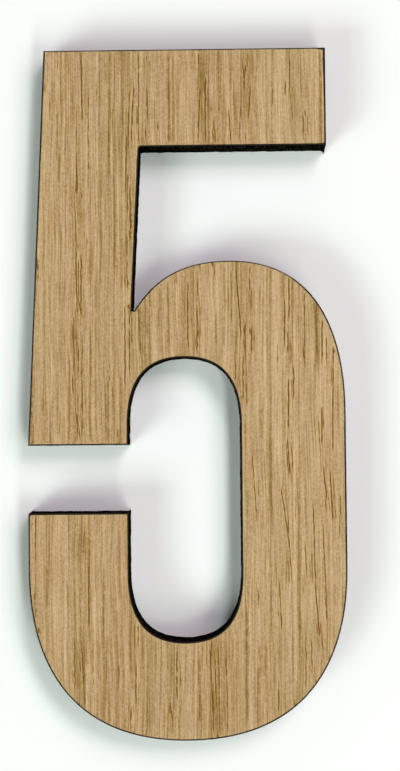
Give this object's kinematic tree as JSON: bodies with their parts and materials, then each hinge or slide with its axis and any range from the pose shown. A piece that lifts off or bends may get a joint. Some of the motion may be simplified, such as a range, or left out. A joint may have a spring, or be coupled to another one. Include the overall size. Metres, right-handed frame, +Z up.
{
  "type": "wooden house number",
  "caption": "Flat oak digit five, laser cut from one board, with a plain back face that is fixed against a wall or door.",
  "frame": {"origin": "on the back face, on the digit's baseline, midway across its width", "axes": "+Z up the digit, +X to the right as it is read, +Y into the wall that the back face lies on"},
  "size_m": [0.0688, 0.006, 0.15],
  "materials": {
    "oak": "unfinished light oak with vertical grain; the cut sides are charred black and a thin dark line runs round the face"
  },
  "bodies": {
    "root": {"number_five": "oak"}
  },
  "joints": []
}
